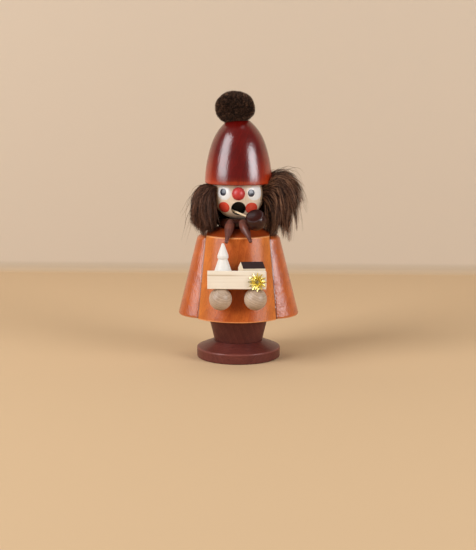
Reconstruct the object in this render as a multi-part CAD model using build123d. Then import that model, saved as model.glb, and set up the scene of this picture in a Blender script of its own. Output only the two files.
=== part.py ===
from build123d import *

import os
from math import asin, atan2, cos, radians, sin, sqrt, tan

# Turned wooden smoking figure, in millimetres, +Z up, front towards -Y.
# The origin is the centre of the foot's underside, on the turning axis.
# Right and left are the figure's own: its right hand is towards -X.

# Clearances
fit_gap = 0.05          # glued tenons, pegs and dowels in their holes
seat_gap = 0.10         # glued round seats that follow a curve
plug_gap = 0.30         # loose plug of the legs in the coat's chamber
blind_gap = 0.40        # left at the bottom of a blind hole
cut_overrun = 2.0       # how far a cutting shape stands out of the wood

# Foot
foot_radius = 31.8
foot_rim_height = 7.7
foot_height = 13.0
foot_edge_round = 1.0
foot_land = 0.5         # flat ring left around the foot of the trousers

# Trousers, with a tenon below and the plug above
trousers_bottom_radius = 18.3
trousers_top_radius = 23.1
trousers_height = 19.9
tenon_radius = 8.0
tenon_length = 7.5
plug_height = 9.0
plug_chamfer = 0.8
trousers_edge_round = 0.4

# Incense plate and its tack
plate_radius = 15.0
plate_floor_radius = 12.4
plate_rim_height = 2.0
plate_sheet = 0.6
plate_tack_shank_radius = 0.7
plate_tack_shank_length = 8.0
plate_tack_head_radius = 2.0
plate_tack_head_height = 0.9

# Coat
hem_radius = 37.6
rim_radius = 27.8
coat_height = 61.8
shoulder_height = 5.3
neck_radius = 15.6
hem_round = 0.7
rim_round = 0.5
chamber_radius = 17.2
chamber_height = 50.0
drill_point_angle = 59.0
smoke_radius = 4.0
draught_radius = 2.5
draught_height = 17.0   # above the hem
flat_reach_hem = 29.3   # from the axis to the arm's seat
flat_reach_rim = 23.7

# Arms
arm_hem_radius = 21.6
arm_top_radius = 14.7
arm_hem_reach = 46.1
arm_top_reach = 30.8
arm_top_drop = 0.5
arm_top_round = 4.2
arm_hem_round = 1.5

# Collar and the two hanging ends of the scarf
collar_radius = 15.9
collar_height = 7.0
collar_round = 2.9
scarf_length = 22.6
scarf_belly_radius = 3.6
scarf_belly_share = 0.26    # how far down the length the belly is
scarf_swell_slope = 0.35
scarf_knot_radius = 2.5
scarf_rest_radius = 2.2     # how thick an end is where it passes the coat's rim
scarf_tip_radius = 1.4
scarf_top_right = -5.0   # sideways places of the two ends
scarf_top_left = 3.5
scarf_tip_right = -7.6
scarf_tip_left = 11.0
scarf_rim_clearance = 0.15

# Head, nose and hat
head_radius = 20.0
head_foot_flat = 1.3    # turned off the ball below
head_top_flat = 5.0     # turned off the ball above
face_turn = 2.5         # degrees, towards the figure's left hand
mouth_radius = 5.4
mouth_drop = 10.1       # below the ball's middle
mouth_back = 4.0        # how far the bore runs past the ball's middle
channel_radius = 3.5
nose_radius = 4.9
nose_rise = 1.5
nose_flat_radius = 3.1
nose_seat_radius = 3.8
nose_seat_depth = 0.2
nose_peg_radius = 1.3
nose_peg_length = 4.5
hat_radius = 25.3
hat_height = 46.5
hat_overlap = 12.4      # how far the ball stands up into the hat
hat_edge_round = 0.9
hat_top_share = 0.33
hat_top_slope = 0.85
hat_radius_shares = (0.977, 0.918, 0.822, 0.706, 0.548)
hat_height_shares = (0.205, 0.398, 0.591, 0.748, 0.88)
hat_dowel_radius = 3.0
hat_dowel_length = 14.0

# Pipe
stem_radius = 0.75
stem_socket = 4.2       # sunk in the wall of the mouth
stem_in_bowl = 3.0
stem_end_side = -3.5
stem_end_back = 12.0    # in front of the axis
stem_end_rise = -2.4    # from the middle of the mouth
bowl_radius = 7.9
bowl_side = 12.8
bowl_forward = 27.0
bowl_drop = 7.3         # below the middle of the mouth
bowl_flat_radius = 6.5
bowl_flat_turn = -21.0  # degrees, which way the flat looks, from straight ahead
bowl_flat_tilt = 50.0   # degrees above level
bowl_dish_depth = 0.5
bowl_rim_width = 0.9

# Fur: a strip of hide around the back of the head, and the pile that it carries
hide_thickness = 0.8
hide_height = 11.0
hide_front_angle = 57.0     # degrees from straight ahead to the strip's ends
hide_below_hat = 1.4
fur_gap = 0.3
right_fur_radius = 11.6
right_fur_half_height = 19.0
right_fur_side = 23.6
right_fur_back = 3.0
right_fur_drop = 19.2        # middle of the tuft below the hat's brim
left_fur_radius = 15.4
left_fur_half_height = 25.5
left_fur_side = 31.8
left_fur_back = 4.0
left_fur_drop = 14.8
back_fur_radius = 15.5
back_fur_half_width = 25.0
back_fur_back = 13.5
back_fur_drop = 20.5

# Outline of every soft mass
egg_end_share = 0.25
egg_end_slope = 0.1
egg_shoulder_share = 0.8
egg_shoulder_height_share = 0.64

# Pompom
pompom_radius = 15.0
pompom_half_height = 12.9
pompom_sink = 3.2           # the pile reaches past the flat it is glued to
pompom_side = -2.5

# Hands and their dowels
hand_radius = 8.4
hands_side = 1.4            # the pair sits this far to the figure's left hand
hand_spread = 12.8
hand_seat_depth = 0.3       # pared off where the ball meets the coat
hand_flat_depth = 0.2       # pared off under the tray
hand_dowel_radius = 1.5
hand_dowel_length = 10.0

# Tray
tray_side = 0.7             # the tray sits this far to the figure's left hand
tray_bottom = 60.1          # above the table
tray_width = 42.7
tray_depth = 14.4
tray_height = 13.4
tray_floor_drop = 2.9       # the floor below the top of the front lip
tray_lip = 1.5
tray_scallop = 1.2          # how deep the coat bites into the back
tray_edge = 0.35

# Tree
tree_side = -10.4           # from the tray's middle
tree_base_radius = 6.9
tree_tier_radius = 4.0
tree_groove_radius = 3.3
tree_lower_height = 10.5
tree_upper_height = 11.4
tree_tier_edge = 1.9
tree_tip_radius = 0.8
tree_tip_round = 0.55
tree_wall_gap = 0.25        # between the tree and the lip
tree_peg_radius = 1.5
tree_peg_length = 4.0

# House
house_side = 10.7           # from the tray's middle
house_length = 16.2
house_depth = 6.2
house_wall_height = 4.1
house_roof_height = 4.7
house_setback = 2.4         # behind the lip
house_turn = 7.0            # degrees
house_end_skew = 28.0       # degrees, the slant of the two saw cuts

# Foil star and its tack
star_inset = 6.2            # from the tray's end
star_drop = 1.1             # below the middle of the tray's front
star_radius = 6.8
star_rays = 12
star_tilts = (9.0, 33.0, 58.0)
star_length_shares = (1.0, 0.92, 0.74)
star_hub_radius = 1.5
star_foil = 0.22
star_ray_root = 1.25
star_ray_tip = 0.8
star_twists = (24.0, -30.0, 18.0)    # degrees, about each ray's own length
star_tack_radius = 0.45
star_tack_length = 6.0
star_tack_head_radius = 0.95
star_tack_head_height = 0.5

# Levels up the turning axis
hem_level = foot_height + trousers_height
plug_level = hem_level + plug_height
rim_level = hem_level + coat_height
neck_level = rim_level + shoulder_height
head_foot_level = neck_level + collar_height
head_level = head_foot_level + head_radius - head_foot_flat
mouth_level = head_level - mouth_drop
head_top_level = head_level + head_radius - head_top_flat
brim_level = head_level + head_radius - hat_overlap
hat_top_level = brim_level + hat_height
hat_top_radius = hat_radius * hat_top_share
tray_top = tray_bottom + tray_height
tray_floor = tray_top - tray_floor_drop
plug_radius = chamber_radius - plug_gap
coat_lean = (hem_radius - rim_radius) / coat_height
flat_lean = (flat_reach_hem - flat_reach_rim) / coat_height
figure_reach = arm_hem_reach + foot_radius
face = Rot(0, 0, face_turn)

LOW = (Align.CENTER, Align.CENTER, Align.MIN)
HIGH = (Align.CENTER, Align.CENTER, Align.MAX)


def turned(points):
    """a piece turned on the vertical axis, from its radius and height points"""
    outline = Plane.XZ * make_face(Polyline(*points, close=True))
    return revolve(outline, Axis.Z)


def round_edge(piece, radius, level):
    """the round edge of a turned piece nearest to a radius and a level"""
    def miss(edge):
        return abs(edge.radius - radius) + abs(edge.arc_center.Z - level)
    return min(piece.edges().filter_by(GeomType.CIRCLE), key=miss)


def rod(start, end, radius):
    """a straight round bar between two points"""
    way = Vector(*end) - Vector(*start)
    return Plane(origin=start, z_dir=way) * Cylinder(radius, way.length, align=LOW)


def egg(radius, half_height):
    """a soft mass turned about its upright axis, with a small flat at either end"""
    end = radius * egg_end_share
    shoulder = radius * egg_shoulder_share
    rise = half_height * egg_shoulder_height_share
    half = make_face([
        Spline((end, -half_height), (shoulder, -rise), (radius, 0), (shoulder, rise), (end, half_height),
               tangents=[(1, egg_end_slope), (-1, egg_end_slope)]),
        Polyline((end, half_height), (0, half_height), (0, -half_height), (end, -half_height)),
    ])
    return revolve(Plane.XZ * half, Axis.Z)


def beyond_flat(side):
    """everything outside the inclined seat of one arm"""
    seat = Plane(
        origin=(side * flat_reach_hem, 0, hem_level),
        x_dir=(0, side, 0),
        z_dir=(side, 0, flat_lean),
    )
    size = figure_reach + coat_height
    return seat * Box(size, 2 * size, size, align=LOW)


def coat_radius_at(level):
    return hem_radius - (level - hem_level) * coat_lean


# Foot: a turned disc, bored for the tenon of the trousers
def make_foot_disc():
    disc = turned([
        (0, 0),
        (foot_radius, 0),
        (foot_radius, foot_rim_height),
        (trousers_bottom_radius + foot_land, foot_height),
        (0, foot_height),
    ])
    rims = [round_edge(disc, foot_radius, 0), round_edge(disc, foot_radius, foot_rim_height)]
    disc = fillet(rims, foot_edge_round)
    bore_depth = tenon_length + blind_gap
    bore = Pos(0, 0, foot_height) * Cylinder(tenon_radius + fit_gap, bore_depth, align=HIGH)
    return disc - bore


# Trousers: one turning, an upturned cone with a tenon below and a plug above
def make_trousers():
    legs = turned([
        (0, foot_height - tenon_length),
        (tenon_radius, foot_height - tenon_length),
        (tenon_radius, foot_height),
        (trousers_bottom_radius, foot_height),
        (trousers_top_radius, hem_level),
        (plug_radius, hem_level),
        (plug_radius, plug_level),
        (0, plug_level),
    ])
    legs = chamfer(round_edge(legs, plug_radius, plug_level), plug_chamfer)
    legs = fillet(round_edge(legs, trousers_bottom_radius, foot_height), trousers_edge_round)
    hole_depth = plate_tack_shank_length + blind_gap
    hole = Pos(0, 0, plug_level) * Cylinder(plate_tack_shank_radius + fit_gap, hole_depth, align=HIGH)
    return legs - hole


# Incense plate: a pressed dish of sheet metal, held to the plug by one tack
def make_incense_plate():
    hole = plate_tack_shank_radius + fit_gap
    rim = plate_sheet
    return turned([
        (hole, plug_level),
        (plate_floor_radius, plug_level),
        (plate_radius, plug_level + plate_rim_height),
        (plate_radius - rim, plug_level + plate_rim_height),
        (plate_floor_radius - rim, plug_level + plate_sheet),
        (hole, plug_level + plate_sheet),
    ])


def make_tack(shank_radius, shank_length, cap_radius, cap_height):
    """a round-headed tack, its head's underside at zero and its shank below"""
    crown = (cap_radius ** 2 + cap_height ** 2) / (2 * cap_height)
    ball = Pos(0, 0, cap_height - crown) * Sphere(crown)
    cap = ball & Cylinder(cap_radius + crown, cap_height, align=LOW)
    return cap + Cylinder(shank_radius, shank_length, align=HIGH)


def make_plate_tack():
    tack = make_tack(plate_tack_shank_radius, plate_tack_shank_length,
                     plate_tack_head_radius, plate_tack_head_height)
    return Pos(0, 0, plug_level + plate_sheet) * tack


# Coat: a hollow turning; the chamber is bored from below and vents through the neck
def coat_outside():
    shell = turned([
        (0, hem_level),
        (hem_radius, hem_level),
        (rim_radius, rim_level),
        (neck_radius, neck_level),
        (0, neck_level),
    ])
    shell = fillet(round_edge(shell, hem_radius, hem_level), hem_round)
    return fillet(round_edge(shell, rim_radius, rim_level), rim_round)


def hand_centre(side):
    """the middle of one hand, resting on the coat and under the tray"""
    level = tray_bottom + hand_flat_depth - hand_radius
    slope = sqrt(1 + coat_lean ** 2)
    reach = coat_radius_at(level) + (hand_radius - hand_seat_depth) * slope
    across = hands_side + side * hand_spread
    return across, -sqrt(reach ** 2 - across ** 2), level


def hand_dowel(side, extra):
    """the dowel from a hand into the coat, or its hole where extra is a clearance"""
    across, forward, level = hand_centre(side)
    reach = sqrt(across ** 2 + forward ** 2)
    seat = coat_radius_at(level)
    half = hand_dowel_length / 2
    start = (seat + half + extra) / reach
    end = (seat - half - extra) / reach
    return rod((across * start, forward * start, level),
               (across * end, forward * end, level), hand_dowel_radius + extra)


def make_coat():
    point = (chamber_radius - smoke_radius) / tan(radians(drill_point_angle))
    chamber = turned([
        (0, hem_level - cut_overrun),
        (chamber_radius, hem_level - cut_overrun),
        (chamber_radius, hem_level + chamber_height),
        (smoke_radius, hem_level + chamber_height + point),
        (smoke_radius, neck_level + cut_overrun),
        (0, neck_level + cut_overrun),
    ])
    draught_level = hem_level + draught_height
    draught = rod((0, chamber_radius - cut_overrun, draught_level),
                  (0, hem_radius + cut_overrun, draught_level), draught_radius)
    coat = coat_outside() - chamber - draught
    for side in (-1, 1):
        coat -= beyond_flat(side)
        coat -= hand_dowel(side, fit_gap)
    return coat


# Arms: halves of a turned cone, glued to the two flats of the coat
def make_arm(side):
    hem_middle = side * (arm_hem_reach - arm_hem_radius)
    top_middle = side * (arm_top_reach - arm_top_radius)
    top_level = rim_level - arm_top_drop
    blank = loft([
        Pos(hem_middle, 0, hem_level) * Circle(arm_hem_radius),
        Pos(top_middle, 0, top_level) * Circle(arm_top_radius),
    ], ruled=True)
    blank = fillet(round_edge(blank, arm_top_radius, top_level), arm_top_round)
    blank = fillet(round_edge(blank, arm_hem_radius, hem_level), arm_hem_round)
    return blank & beyond_flat(side)


# Collar: a turned ring that carries the head and lets the smoke through
def collar_outside():
    ring = Pos(0, 0, neck_level) * Cylinder(collar_radius, collar_height, align=LOW)
    return fillet(ring.edges().filter_by(GeomType.CIRCLE), collar_round)


def make_collar():
    bore = Pos(0, 0, neck_level - cut_overrun)
    bore *= Cylinder(smoke_radius, collar_height + 2 * cut_overrun, align=LOW)
    return collar_outside() - bore


# Scarf ends: two tapered turnings glued to the collar, lying on the coat's rim
def make_scarf_end(top_side, tip_side):
    drop_from = neck_level + collar_height - scarf_knot_radius / 2
    start_reach = collar_radius + scarf_knot_radius / 2
    run = rim_radius - start_reach
    drop = drop_from - rim_level
    clear_of_rim = scarf_rest_radius + scarf_rim_clearance
    fall = atan2(drop, run) - asin(clear_of_rim / sqrt(run ** 2 + drop ** 2))
    forward = scarf_length * cos(fall)
    across = tip_side - top_side
    start = (top_side, -sqrt(start_reach ** 2 - top_side ** 2), drop_from)
    way = (across, -forward, -scarf_length * sin(fall))
    half = Plane.XZ * make_face([
        Spline(
            (scarf_knot_radius, 0),
            (scarf_belly_radius, scarf_length * scarf_belly_share),
            (scarf_tip_radius, scarf_length - scarf_tip_radius),
            tangents=[(scarf_swell_slope, 1), (0, 1)],
        ),
        CenterArc((0, scarf_length - scarf_tip_radius), scarf_tip_radius, 0, 90),
        Line((0, scarf_length), (0, 0)),
        Line((0, 0), (scarf_knot_radius, 0)),
    ])
    pin = Plane(origin=start, z_dir=way) * revolve(half, Axis.Z)
    return pin - collar_outside() - coat_outside()


# Head: a turned ball, flat above and below, bored for the smoke
def pipe_points():
    """the buried end of the stem, its end in the mouth, and the middle of the bowl"""
    mouth_end = Vector(stem_end_side, -stem_end_back, mouth_level + stem_end_rise)
    bowl = Vector(bowl_side, -bowl_forward, mouth_level - bowl_drop)
    way = (bowl - mouth_end).normalized()
    return mouth_end - way * stem_socket, mouth_end, bowl, way


def nose_seat_reach():
    """how far in front of the axis the flat under the nose lies"""
    return sqrt(head_radius ** 2 - (nose_seat_radius + nose_rise) ** 2) - nose_seat_depth


def make_head():
    ball = Pos(0, 0, head_level) * Sphere(head_radius)
    slab_height = head_top_level - head_foot_level
    slab = Pos(0, 0, head_foot_level) * Cylinder(2 * head_radius, slab_height, align=LOW)
    head = ball & slab
    head -= rod((0, -head_radius - cut_overrun, mouth_level), (0, mouth_back, mouth_level), mouth_radius)
    head -= rod((0, 0, head_foot_level - cut_overrun), (0, 0, mouth_level), channel_radius)
    hole_depth = hat_dowel_length / 2 + blind_gap
    head -= Pos(0, 0, head_top_level) * Cylinder(hat_dowel_radius + fit_gap, hole_depth, align=HIGH)
    nose_level = head_level + nose_rise
    seat = nose_seat_reach()
    head -= rod((0, -seat, nose_level), (0, -head_radius - cut_overrun, nose_level), nose_seat_radius)
    head -= rod((0, -seat, nose_level), (0, nose_peg_length + blind_gap - seat, nose_level),
                nose_peg_radius + fit_gap)
    buried, mouth_end, bowl, way = pipe_points()
    socket_end = buried - way * blind_gap
    head -= rod(tuple(socket_end), tuple(bowl), stem_radius + fit_gap)
    return face * head


# Nose: a lacquered bead with a flat and a peg
def make_nose():
    nose_level = head_level + nose_rise
    seat = nose_seat_reach()
    middle = seat + sqrt(nose_radius ** 2 - nose_flat_radius ** 2)
    bead = Pos(0, -middle, nose_level) * Sphere(nose_radius)
    ahead = Pos(0, -seat, nose_level) * Rot(90, 0, 0)
    bead = bead & (ahead * Cylinder(2 * nose_radius, 3 * nose_radius, align=LOW))
    peg = rod((0, -middle, nose_level), (0, nose_peg_length - seat, nose_level), nose_peg_radius)
    return face * (bead + peg)


# Hat: a tall turned cap, hollowed to sit over the top of the ball
def hat_outside():
    side = [(hat_radius * r, brim_level + hat_height * h)
            for r, h in zip(hat_radius_shares, hat_height_shares)]
    half = Plane.XZ * make_face([
        Spline((hat_radius, brim_level), *side, (hat_top_radius, hat_top_level),
               tangents=[(0, 1), (-1, hat_top_slope)]),
        Line((hat_top_radius, hat_top_level), (0, hat_top_level)),
        Line((0, hat_top_level), (0, brim_level)),
        Line((0, brim_level), (hat_radius, brim_level)),
    ])
    hat = revolve(half, Axis.Z)
    return fillet(round_edge(hat, hat_radius, brim_level), hat_edge_round)


def make_hat():
    hollow = Pos(0, 0, head_level) * Sphere(head_radius + seat_gap)
    below = Pos(0, 0, head_top_level) * Cylinder(2 * head_radius, 2 * head_radius, align=HIGH)
    hole = Pos(0, 0, head_top_level)
    hole *= Cylinder(hat_dowel_radius + fit_gap, hat_dowel_length / 2 + blind_gap, align=LOW)
    return hat_outside() - (hollow & below) - hole


def make_hat_dowel():
    return Pos(0, 0, head_top_level) * Cylinder(hat_dowel_radius, hat_dowel_length)


# Pompom: a ball of short fur that sits over the hat's flat top
def make_pompom():
    level = hat_top_level + pompom_half_height - pompom_sink
    return Pos(pompom_side, 0, level) * egg(pompom_radius, pompom_half_height) - hat_outside()


# Fur: the hide strip runs around the back of the head; three tufts stand out of it
def make_hide_strip():
    outer = Pos(0, 0, head_level) * Sphere(head_radius + seat_gap + hide_thickness)
    inner = Pos(0, 0, head_level) * Sphere(head_radius + seat_gap)
    top = brim_level - hide_below_hat
    band = Pos(0, 0, top) * Cylinder(2 * head_radius, hide_height, align=HIGH)
    half = 2 * head_radius * sin(radians(hide_front_angle))
    ahead = -2 * head_radius * cos(radians(hide_front_angle))
    opening = make_face(Polyline((0, 0), (half, ahead), (half, 2 * ahead), (-half, 2 * ahead),
                                 (-half, ahead), close=True))
    wedge = Pos(0, 0, top - hide_height) * extrude(opening, hide_height)
    return face * ((outer - inner) & band - wedge)


def pared_fur(tuft):
    """a tuft without what the head, the hat and the figure below it take up"""
    inside = head_radius + seat_gap + hide_thickness + seat_gap
    hat_room = Cylinder(hat_radius + fur_gap, hat_height, align=LOW)
    collar_room = Cylinder(collar_radius + fur_gap, collar_height + seat_gap, align=LOW)
    tuft -= Pos(0, 0, head_level) * Sphere(inside)
    tuft -= Pos(0, 0, brim_level - fur_gap) * hat_room
    tuft -= Pos(0, 0, neck_level) * collar_room
    tuft = face * tuft - Pos(0, 0, fur_gap) * coat_outside()
    for side in (-1, 1):
        tuft -= Pos(0, 0, fur_gap) * make_arm(side)
    return tuft


def make_right_fur():
    level = brim_level - right_fur_drop
    tuft = egg(right_fur_radius, right_fur_half_height)
    return pared_fur(Pos(-right_fur_side, right_fur_back, level) * tuft)


def make_left_fur():
    level = brim_level - left_fur_drop
    tuft = egg(left_fur_radius, left_fur_half_height)
    return pared_fur(Pos(left_fur_side, left_fur_back, level) * tuft)


def make_back_fur(left, right):
    roll = Rot(0, 90, 0) * egg(back_fur_radius, back_fur_half_width)
    return pared_fur(Pos(0, back_fur_back, brim_level - back_fur_drop) * roll) - left - right


# Pipe: a straight stem in the mouth and a ball for the bowl
def bowl_face():
    """the plane of the bowl's flat top"""
    buried, mouth_end, bowl, way = pipe_points()
    up = radians(bowl_flat_tilt)
    turn = radians(bowl_flat_turn)
    out = Vector(sin(turn) * cos(up), -cos(turn) * cos(up), sin(up))
    return Plane(origin=bowl + out * sqrt(bowl_radius ** 2 - bowl_flat_radius ** 2), z_dir=out)


def make_pipe_bowl():
    buried, mouth_end, bowl, way = pipe_points()
    ball = Pos(*bowl) * Sphere(bowl_radius)
    top = bowl_face()
    ball -= top * Cylinder(bowl_radius, bowl_radius, align=LOW)
    dish_radius = bowl_flat_radius - bowl_rim_width
    crown = (dish_radius ** 2 + bowl_dish_depth ** 2) / (2 * bowl_dish_depth)
    ball -= top * Pos(0, 0, crown - bowl_dish_depth) * Sphere(crown)
    end = bowl - way * (bowl_radius - stem_in_bowl - blind_gap)
    hole = rod(tuple(mouth_end), tuple(end), stem_radius + fit_gap)
    return face * (ball - hole)


def make_pipe_stem():
    buried, mouth_end, bowl, way = pipe_points()
    end = bowl - way * (bowl_radius - stem_in_bowl)
    return face * rod(tuple(buried), tuple(end), stem_radius)


# Hands: two balls, pared where they meet the coat and the tray
def make_hand(side):
    ball = Pos(*hand_centre(side)) * Sphere(hand_radius)
    below = Pos(0, 0, tray_bottom) * Cylinder(figure_reach, 3 * hand_radius, align=HIGH)
    return (ball & below) - coat_outside() - hand_dowel(side, fit_gap)


def make_hand_dowels():
    return Compound([hand_dowel(-1, 0), hand_dowel(1, 0)])


# Tray: a strip of moulding with a front lip, scalloped to the coat
def tray_front():
    return -(coat_radius_at(tray_bottom) - tray_scallop + tray_depth)


def make_tray():
    front = tray_front()
    back = front + tray_depth
    inside = front + tray_lip
    section = Plane.YZ * make_face(Polyline(
        (front, tray_bottom),
        (back, tray_bottom),
        (back, tray_floor),
        (inside, tray_floor),
        (inside, tray_top),
        (front, tray_top),
        close=True,
    ))
    strip = extrude(section, tray_width / 2, both=True)
    front_edges = [e for e in strip.edges() if abs(e.center().Y - front) < tray_edge]
    strip = Pos(tray_side, 0, 0) * chamfer(front_edges, tray_edge)
    strip -= coat_outside()
    strip -= Pos(*tree_foot()) * Cylinder(tree_peg_radius + fit_gap, tree_peg_length + blind_gap, align=HIGH)
    return strip - star_place() * Cylinder(star_tack_radius + fit_gap, star_tack_hole_depth(), align=HIGH)


# Tree: turned in one piece with a peg below
def tree_foot():
    forward = tray_front() + tray_lip + tree_wall_gap + tree_base_radius
    return tray_side + tree_side, forward, tray_floor


def make_tree():
    groove = tree_lower_height
    tier = groove + (tree_tier_radius - tree_groove_radius)
    edge = tier + tree_tier_edge
    top = groove + tree_upper_height
    tree = turned([
        (0, -tree_peg_length),
        (tree_peg_radius, -tree_peg_length),
        (tree_peg_radius, 0),
        (tree_base_radius, 0),
        (tree_groove_radius, groove),
        (tree_tier_radius, tier),
        (tree_tier_radius, edge),
        (tree_tip_radius, top),
        (0, top),
    ])
    tree = fillet(round_edge(tree, tree_tip_radius, top), tree_tip_round)
    tree = fillet(round_edge(tree, tree_tier_radius, edge), tree_tier_edge / 2)
    return Pos(*tree_foot()) * tree


# House: a length of gabled strip with both ends sawn on the slant
def make_house():
    half_depth = house_depth / 2
    gable = Plane.YZ * make_face(Polyline(
        (-half_depth, 0),
        (half_depth, 0),
        (half_depth, house_wall_height),
        (0, house_wall_height + house_roof_height),
        (-half_depth, house_wall_height),
        close=True,
    ))
    block = extrude(gable, house_length, both=True)
    slant = half_depth * tan(radians(house_end_skew))
    half = house_length / 2
    plan = make_face(Polyline(
        (-half + slant, -half_depth),
        (half + slant, -half_depth),
        (half - slant, half_depth),
        (-half - slant, half_depth),
        close=True,
    ))
    block = block & extrude(plan, house_wall_height + house_roof_height)
    forward = tray_front() + tray_lip + house_setback + half_depth
    return Pos(tray_side + house_side, forward, tray_floor) * Rot(0, 0, house_turn) * block


# Star: rows of cut foil rays around a hub, each row bent further forward
def star_place():
    middle = (tray_bottom + tray_top) / 2 - star_drop
    across = tray_side + tray_width / 2 - star_inset
    return Plane(origin=(across, tray_front(), middle), x_dir=(1, 0, 0), z_dir=(0, -1, 0))


def star_tack_hole_depth():
    return star_tack_length - star_foil + blind_gap


def make_tinsel_star():
    star = Cylinder(star_hub_radius, star_foil, align=LOW)
    root = star_tack_head_radius + seat_gap + star_foil
    rows = zip(star_tilts, star_twists, star_length_shares)
    for row, (tilt, twist, share) in enumerate(rows):
        length = star_radius * share - root
        blade = make_face(Polyline(
            (0, -star_ray_root / 2),
            (length, -star_ray_tip / 2),
            (length, star_ray_tip / 2),
            (0, star_ray_root / 2),
            close=True,
        ))
        ray = Pos(root, 0, 0) * Rot(0, -tilt, 0) * Rot(twist, 0, 0) * extrude(blade, star_foil)
        for count in range(star_rays):
            angle = 360 / star_rays * (count + row / len(star_tilts))
            star += Rot(0, 0, angle) * ray
    star -= Cylinder(star_tack_radius + fit_gap, star_radius)
    star -= Cylinder(2 * star_radius, star_radius, align=HIGH)
    return star_place() * star


def make_star_tack():
    tack = make_tack(star_tack_radius, star_tack_length, star_tack_head_radius, star_tack_head_height)
    return star_place() * Pos(0, 0, star_foil) * tack


right_fur = make_right_fur()
left_fur = make_left_fur()

pieces = {
    "foot_disc": make_foot_disc(),
    "trousers": make_trousers(),
    "incense_plate": make_incense_plate(),
    "plate_tack": make_plate_tack(),
    "coat": make_coat(),
    "arm_right": make_arm(-1),
    "arm_left": make_arm(1),
    "hand_right": make_hand(-1),
    "hand_left": make_hand(1),
    "hand_dowels": make_hand_dowels(),
    "collar": make_collar(),
    "scarf_end_right": make_scarf_end(scarf_top_right, scarf_tip_right),
    "scarf_end_left": make_scarf_end(scarf_top_left, scarf_tip_left),
    "head": make_head(),
    "nose": make_nose(),
    "hat": make_hat(),
    "hat_dowel": make_hat_dowel(),
    "pompom": make_pompom(),
    "hide_strip": make_hide_strip(),
    "fur_right": right_fur,
    "fur_left": left_fur,
    "fur_back": make_back_fur(left_fur, right_fur),
    "pipe_bowl": make_pipe_bowl(),
    "pipe_stem": make_pipe_stem(),
    "tray": make_tray(),
    "tree": make_tree(),
    "house": make_house(),
    "tinsel_star": make_tinsel_star(),
    "star_tack": make_star_tack(),
}

os.makedirs("parts", exist_ok=True)
for name, piece in pieces.items():
    export_step(piece, f"parts/{name}.step")
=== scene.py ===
from math import cos, pi, radians, sin

import bmesh
import bpy
import numpy as np
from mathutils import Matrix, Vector


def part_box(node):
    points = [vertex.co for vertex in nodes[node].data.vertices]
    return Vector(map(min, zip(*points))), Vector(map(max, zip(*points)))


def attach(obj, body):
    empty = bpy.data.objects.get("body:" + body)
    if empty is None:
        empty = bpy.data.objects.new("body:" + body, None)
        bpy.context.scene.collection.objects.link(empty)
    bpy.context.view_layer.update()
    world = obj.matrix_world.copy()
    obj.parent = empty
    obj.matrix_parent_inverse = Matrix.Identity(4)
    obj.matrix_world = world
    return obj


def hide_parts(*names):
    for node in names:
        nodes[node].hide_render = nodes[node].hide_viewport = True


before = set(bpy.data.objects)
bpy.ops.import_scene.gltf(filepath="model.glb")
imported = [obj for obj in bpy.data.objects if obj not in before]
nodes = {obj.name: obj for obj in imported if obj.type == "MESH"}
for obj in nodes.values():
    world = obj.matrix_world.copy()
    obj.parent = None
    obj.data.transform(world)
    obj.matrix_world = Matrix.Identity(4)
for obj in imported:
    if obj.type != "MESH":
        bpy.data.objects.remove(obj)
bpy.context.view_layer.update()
MM = 0.001


# Foot disc and trousers.
# Two turnings of beech on one tenon, stained a dark red-brown and varnished.
# The grain runs across the disc and up the trousers, with short dark rays in it.

def finish(name, sockets):
    """a new material with plain numbers on the shader's own sockets, and its tree of nodes"""
    material = bpy.data.materials.new(name)
    material.use_nodes = True
    shader = material.node_tree.nodes["Principled BSDF"]
    for socket, value in sockets.items():
        shader.inputs[socket].default_value = value
    return material, material.node_tree


def wire(tree, patterns):
    """leads patterns to the shader's own sockets"""
    shader = tree.nodes["Principled BSDF"]
    for socket, pattern in patterns.items():
        tree.links.new(pattern, shader.inputs[socket])


def add(tree, kind, inputs, **settings):
    """a shader node with its settings, fed by sockets or plain numbers"""
    made = tree.nodes.new("ShaderNode" + kind)
    for key, value in settings.items():
        setattr(made, key, value)
    for key, value in inputs.items():
        if isinstance(value, bpy.types.NodeSocket):
            tree.links.new(value, made.inputs[key])
        else:
            made.inputs[key].default_value = value
    return made


def own_place(tree):
    """where a spot lies, in the object's own metres"""
    return add(tree, "TexCoord", {}).outputs["Object"]


def along(tree, place, axis):
    """the X, the Y or the Z of a place"""
    return add(tree, "SeparateXYZ", {0: place}).outputs[axis]


def drawn_up(tree, place, scale):
    """a place with its height scaled: under one draws patterns out upwards, over one flattens"""
    return add(tree, "Mapping", {"Vector": place, "Scale": (1, 1, scale)}).outputs["Vector"]


def reckon(tree, operation, *numbers):
    """one step of arithmetic on numbers"""
    return add(tree, "Math", dict(enumerate(numbers)), operation=operation).outputs["Value"]


def reckon_place(tree, operation, *places):
    """one step of arithmetic on places; a length or a distance comes out as a number"""
    made = add(tree, "VectorMath", dict(enumerate(places)), operation=operation)
    return made.outputs["Value" if operation in ("LENGTH", "DISTANCE") else "Vector"]


def ranged(tree, value, low, high, to_low=0.0, to_high=1.0, smooth=False):
    """a value between two limits, carried over to the range between two others"""
    return add(tree, "MapRange", {
        "Value": value, "From Min": low, "From Max": high, "To Min": to_low, "To Max": to_high,
    }, interpolation_type="SMOOTHSTEP" if smooth else "LINEAR").outputs["Result"]


def ramp(tree, factor, stops):
    """a run of colours or greys along a factor"""
    made = add(tree, "ValToRGB", {"Fac": factor})
    elements = made.color_ramp.elements
    while len(elements) < len(stops):
        elements.new(0.5)
    for element, (place, tone) in zip(elements, stops):
        element.position = place
        element.color = (*tone, 1) if isinstance(tone, tuple) else (tone, tone, tone, 1)
    return made.outputs["Color"]


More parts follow.
